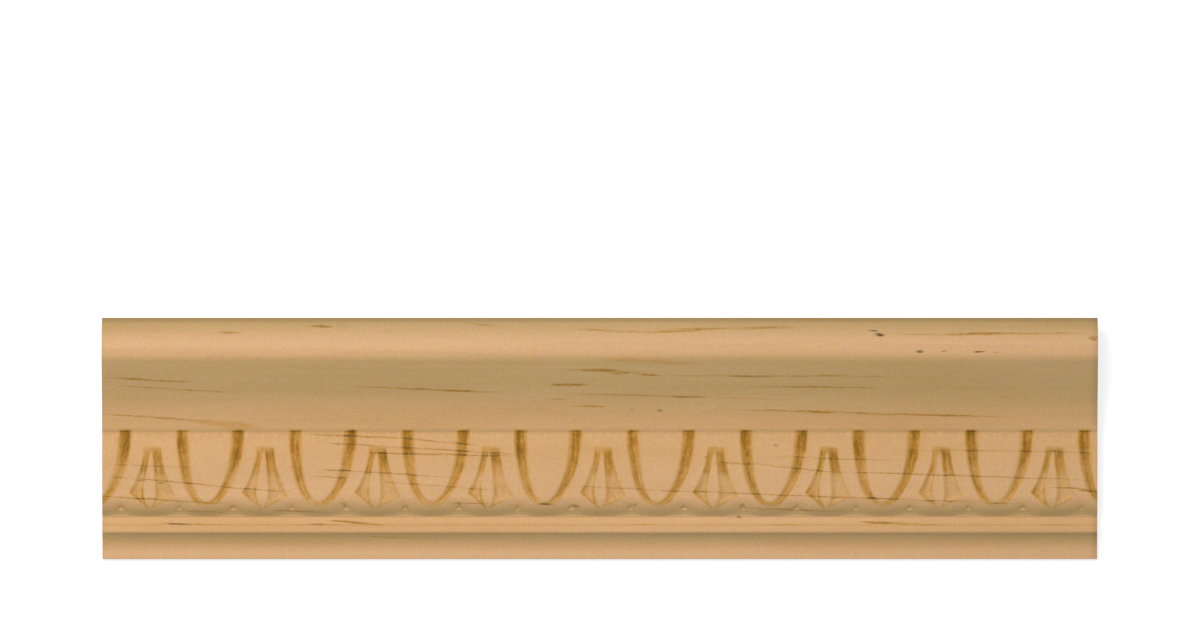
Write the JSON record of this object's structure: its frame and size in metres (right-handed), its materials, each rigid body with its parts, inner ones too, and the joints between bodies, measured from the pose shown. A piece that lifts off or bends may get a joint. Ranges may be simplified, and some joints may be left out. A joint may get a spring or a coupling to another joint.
{
  "type": "embossed crown moulding",
  "caption": "Straight length of pine crown moulding: a rounded top roll, a long shallow cove, a flat band embossed with egg and dart, a small bead and a foot cove. Both ends sawn square.",
  "frame": {"origin": "middle of the bounding box in plan, on the plane of the flat back", "axes": "+X along the length, +Y from the foot to the top edge with the roll, +Z out of the face"},
  "size_m": [0.34, 0.0826, 0.019],
  "materials": {
    "pine": "sanded bare pine, matt, with burnished brown grooves where the hot die pressed"
  },
  "bodies": {
    "root": {"embossed_moulding": "pine"}
  },
  "joints": []
}
